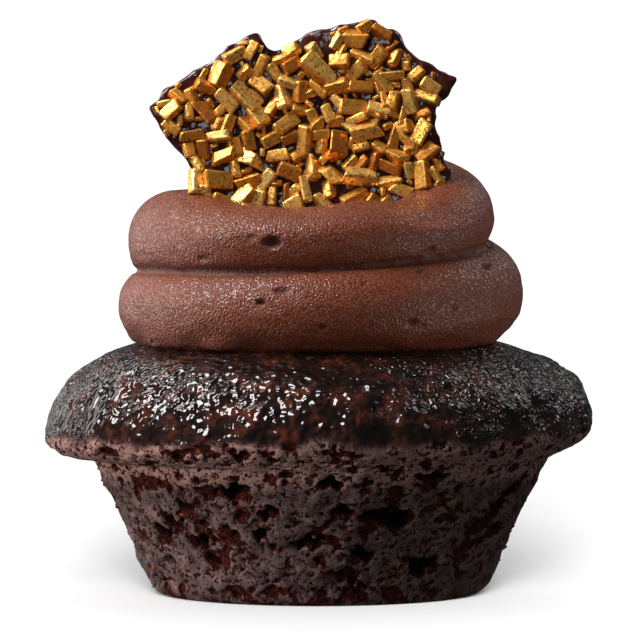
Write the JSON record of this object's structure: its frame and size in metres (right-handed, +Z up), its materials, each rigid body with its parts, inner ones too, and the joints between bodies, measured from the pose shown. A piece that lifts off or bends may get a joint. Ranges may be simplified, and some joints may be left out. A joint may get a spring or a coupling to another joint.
{
  "type": "chocolate cupcake",
  "caption": "Chocolate cupcake with no paper case: domed sponge, piped frosting swirl and a standing chocolate shard covered in gold sugar crystals.",
  "frame": {"origin": "middle of the sponge's flat foot, where it rests", "axes": "+Z up, -Y towards the side that the picture shows, +X to the right of that view"},
  "size_m": [0.0802, 0.0794, 0.0847],
  "materials": {
    "sponge": "moist open crumb, oily shine on the dome",
    "frosting": "satin, fine air bubbles",
    "gold_sugar": "gold-dusted sugar crystals",
    "dark_chocolate": "glossy dark chocolate"
  },
  "bodies": {
    "root": {"sponge": "sponge", "frosting": "frosting", "shard": "gold_sugar"}
  },
  "joints": []
}
